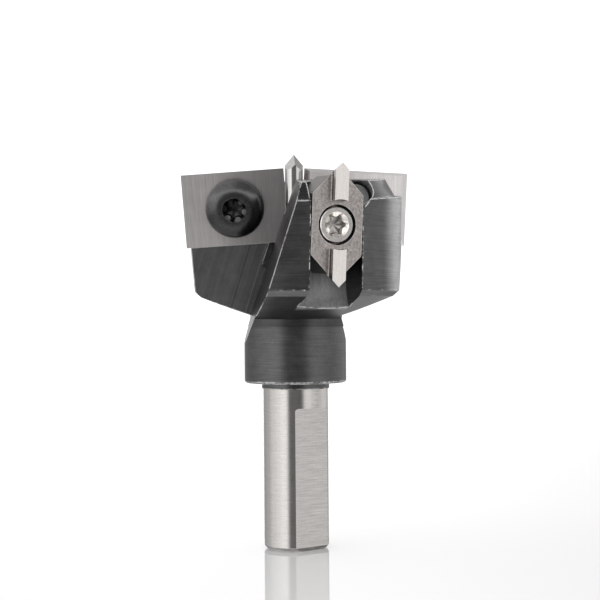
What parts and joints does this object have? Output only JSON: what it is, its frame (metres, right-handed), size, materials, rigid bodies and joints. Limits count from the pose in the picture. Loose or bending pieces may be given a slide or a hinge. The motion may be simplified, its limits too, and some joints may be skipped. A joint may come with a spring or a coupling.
{
  "type": "hinge boring bit",
  "caption": "Boring bit for blind hinge-cup holes: a round shank with a flat, a two-winged head with clamped flat knives, double-pointed scoring spurs and a centre point.",
  "frame": {"origin": "centre of the shank's end face, where the bit stands", "axes": "+Z along the boring axis, from the shank to the centre point; the left knife's cutting edge lies along X and faces -Y"},
  "size_m": [0.035, 0.0336, 0.0606],
  "materials": {
    "black_steel": "black oxide over turned steel, worn bright on its edges, with a bright ground shank",
    "ground_carbide": "ground, with fine lines",
    "black_screw": "black satin",
    "bright_screw": "bright plated",
    "polished_pin": "polished"
  },
  "bodies": {
    "root": {"body": "black_steel", "knife_left": "ground_carbide", "knife_right": "ground_carbide", "knife_screw_left": "black_screw", "knife_screw_right": "black_screw", "spur_front": "ground_carbide", "spur_back": "ground_carbide", "spur_screw_front": "bright_screw", "spur_screw_back": "bright_screw", "centre_point": "polished_pin"}
  },
  "joints": []
}
